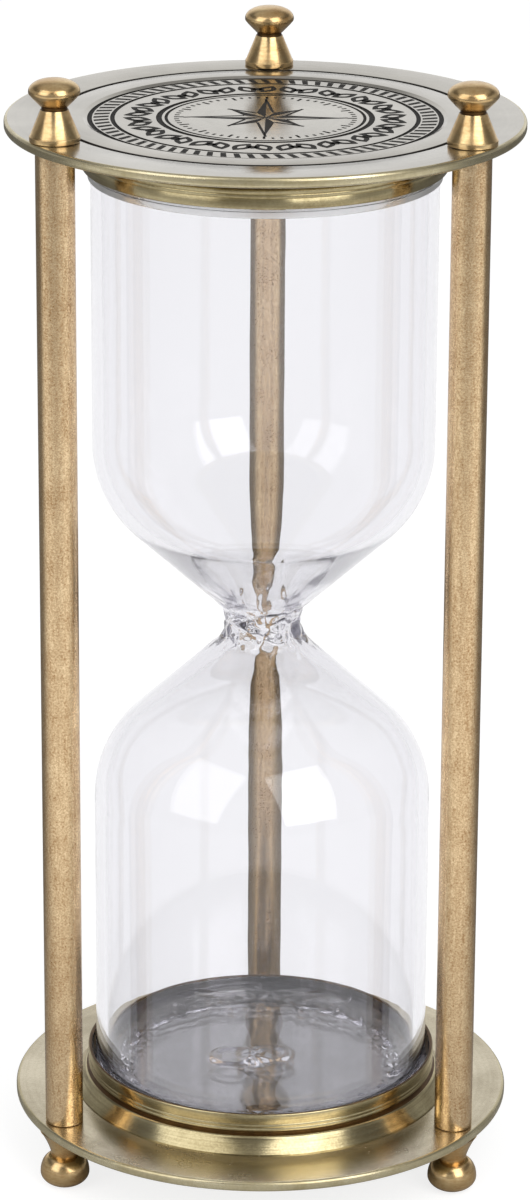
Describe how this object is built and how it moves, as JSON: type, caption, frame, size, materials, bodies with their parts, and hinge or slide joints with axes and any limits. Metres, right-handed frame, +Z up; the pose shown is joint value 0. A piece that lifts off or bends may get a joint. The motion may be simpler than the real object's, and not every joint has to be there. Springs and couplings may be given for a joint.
{
  "type": "double-bulb hourglass",
  "caption": "Empty double-bulb hourglass: clear blown glass held in brass cups between two round plates, on hollow pillars with finial nuts and ball feet.",
  "frame": {"origin": "on the table, under the middle of the three feet", "axes": "+Z up along the hourglass's axis, +Y towards the back pillar, +X to the right"},
  "size_m": [0.08, 0.08, 0.1822],
  "materials": {
    "plate_brass": "brushed, nickel-grey antique",
    "cup_brass": "turned, olive antique",
    "pillar_brass": "satin lacquered, warm bronze",
    "nut_brass": "turned and polished",
    "threaded_steel": "plain",
    "clear_glass": "blown, clear",
    "grey_felt": "pressed felt",
    "black_rubber": "matt",
    "white_silicone": "translucent"
  },
  "bodies": {
    "stand": {"bottom_plate": "plate_brass", "lower_cup": "cup_brass", "glass_bulbs": "clear_glass", "fill_stopper": "black_rubber", "upper_gasket": "white_silicone", "pillar_back": "pillar_brass", "pillar_left": "pillar_brass", "pillar_right": "pillar_brass", "tie_rod_back": "threaded_steel", "tie_rod_left": "threaded_steel", "tie_rod_right": "threaded_steel"},
    "lid": {"top_plate": "plate_brass", "upper_cup": "cup_brass", "upper_pad": "grey_felt"},
    "finial_back": {"finial_back": "nut_brass"},
    "finial_left": {"finial_left": "nut_brass"},
    "finial_right": {"finial_right": "nut_brass"},
    "foot_back": {"foot_back": "nut_brass"},
    "foot_left": {"foot_left": "nut_brass"},
    "foot_right": {"foot_right": "nut_brass"}
  },
  "joints": [
    {"name": "lid_lift", "type": "slide", "parent": "stand", "child": "lid", "axis": [0, 0, 1], "range_m": [0, 0.03]},
    {"name": "finial_back_turn", "type": "hinge", "parent": "lid", "child": "finial_back", "pos_m": [0, 0.036, 0.1722], "axis": [0, 0, 1], "continuous": true},
    {"name": "finial_left_turn", "type": "hinge", "parent": "lid", "child": "finial_left", "pos_m": [-0.03118, -0.018, 0.1722], "axis": [0, 0, 1], "continuous": true},
    {"name": "finial_right_turn", "type": "hinge", "parent": "lid", "child": "finial_right", "pos_m": [0.03118, -0.018, 0.1722], "axis": [0, 0, 1], "continuous": true},
    {"name": "foot_back_turn", "type": "hinge", "parent": "stand", "child": "foot_back", "pos_m": [0, 0.036, 0], "axis": [0, 0, 1], "continuous": true},
    {"name": "foot_left_turn", "type": "hinge", "parent": "stand", "child": "foot_left", "pos_m": [-0.03118, -0.018, 0], "axis": [0, 0, 1], "continuous": true},
    {"name": "foot_right_turn", "type": "hinge", "parent": "stand", "child": "foot_right", "pos_m": [0.03118, -0.018, 0], "axis": [0, 0, 1], "continuous": true}
  ]
}
